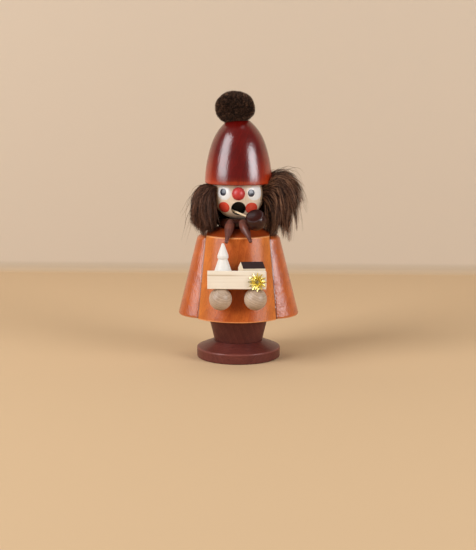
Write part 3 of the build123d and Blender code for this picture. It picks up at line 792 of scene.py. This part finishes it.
gold_film, tree = finish("gold_film", {"Metallic": 1.0})
crease = add(tree, "TexVoronoi", {
    "Vector": own_place(tree), "Scale": 1 / (0.9 * MM),
}).outputs["Distance"]
wire(tree, {
    "Base Color": mixed(tree, crease, (0.96, 0.86, 0.34), (0.80, 0.66, 0.18)),
    "Roughness": ramp(tree, crease, [(0.0, 0.12), (1.0, 0.35)]),
    "Normal": relief(tree, crease, 0.8, 0.2),
})
give(gold_film, "tinsel_star")


# Stage.
# A pale table that runs up into a wall, which is clear from behind so that the
# back of the figure can be seen.

table_reach, wall_back, wall_height = 1.6, 0.383, 1.6
bend_radius, bend_segments, bend_top = 0.009, 5, 0.012
sweep = bmesh.new()
bmesh.ops.create_grid(sweep, x_segments=1, y_segments=1, size=table_reach)
for corner in sweep.verts:
    corner.co.y = min(corner.co.y, wall_back)
back_edge = [e for e in sweep.edges if all(v.co.y > wall_back - MM for v in e.verts)]
risen = bmesh.ops.extrude_edge_only(sweep, edges=back_edge)["geom"]
for corner in (g for g in risen if isinstance(g, bmesh.types.BMVert)):
    corner.co.z += wall_height
at_bend = [v for v in sweep.verts if abs(v.co.y - wall_back) < MM and abs(v.co.z) < MM]
bend = [e for e in sweep.edges if all(v in at_bend for v in e.verts)]
bmesh.ops.bevel(sweep, geom=bend, offset=bend_radius, segments=bend_segments, profile=0.5,
                affect="EDGES", material=-1)
for face in sweep.faces:
    face.smooth = True
bmesh.ops.recalc_face_normals(sweep, faces=sweep.faces)
bmesh.ops.reverse_faces(sweep, faces=sweep.faces)
mesh = bpy.data.meshes.new("table_and_wall")
sweep.to_mesh(mesh)
sweep.free()
table = bpy.data.objects.new("table_and_wall", mesh)
bpy.context.scene.collection.objects.link(table)

paper, tree = finish("pale_paper", {"Roughness": 0.9, "Specular IOR Level": 0.1})
height = ranged(tree, along(tree, own_place(tree), "Z"), 0.0, bend_top)
# the paper is painted darker through the middle of the bend, a painted shade where the table
# meets the wall
wire(tree, {"Base Color": ramp(tree, height, [
    (0.0, (0.62, 0.435, 0.255)), (0.1, (0.53, 0.38, 0.235)), (0.45, (0.48, 0.365, 0.25)),
    (0.75, (0.51, 0.41, 0.30)), (1.0, (0.565, 0.46, 0.35)),
])})
from_behind = add(tree, "NewGeometry", {}).outputs["Backfacing"]
to_camera = add(tree, "LightPath", {}).outputs["Is Camera Ray"]
seen_through = add(tree, "MixShader", {
    0: reckon(tree, "MULTIPLY", from_behind, to_camera),
    1: tree.nodes["Principled BSDF"].outputs["BSDF"],
    2: add(tree, "BsdfTransparent", {}).outputs["BSDF"],
})
surface = tree.nodes["Material Output"].inputs["Surface"]
tree.links.new(seen_through.outputs["Shader"], surface)
mesh.materials.append(paper)


# Light and camera.
# Two large soft lamps at the sides, a weak one above and behind, and a camera
# a little higher than the figure's top that looks slightly down.

world = bpy.data.worlds.new("room")
bpy.context.scene.world = world
world.use_nodes = True
room_light = world.node_tree.nodes["Background"].inputs
room_light["Color"].default_value = (1.0, 0.95, 0.88, 1)
room_light["Strength"].default_value = 0.12

# degrees round from straight ahead, height, distance, width and height of the panel in
# metres, power in watts, and the height that it is aimed at
for name, azimuth, height, distance, width, tall, power, aim in (
    ("lamp_right_side", -56, 0.80, 1.2, 0.8, 1.3, 22, 0.45),
    ("lamp_left_side", 57, 0.47, 1.2, 0.62, 0.66, 11.5, 0.3),
    ("lamp_above", 180, 1.7, 0.4, 1.2, 1.2, 7, 0.09),
):
    lamp = bpy.data.lights.new(name, "AREA")
    lamp.shape = "RECTANGLE"
    lamp.size, lamp.size_y = width, tall
    lamp.energy = power
    lamp.color = (0.96, 0.97, 1.0)
    stand = bpy.data.objects.new(name, lamp)
    bpy.context.scene.collection.objects.link(stand)
    turn = radians(azimuth)
    stand.location = (distance * sin(turn), -distance * cos(turn), height)
    look = Vector((0, 0, aim)) - stand.location
    stand.rotation_euler = look.to_track_quat("-Z", "Y").to_euler()

film_width, focal_pixels, photo_height_pixels = 36, 1250, 550
camera_data = bpy.data.cameras.new("camera")
camera_data.sensor_width = film_width
camera_data.lens = film_width * focal_pixels / photo_height_pixels
camera = bpy.data.objects.new("camera", camera_data)
bpy.context.scene.collection.objects.link(camera)
# millimetres from the middle of the foot, and degrees
camera_spot, looks_down, looks_left = (40.63, -938.5, 222.5), 9.65, 2.5
camera.location = Vector(camera_spot) * MM
camera.rotation_euler = (radians(90 - looks_down), 0, radians(looks_left))
bpy.context.scene.camera = camera
bpy.context.scene.view_settings.view_transform = "Standard"
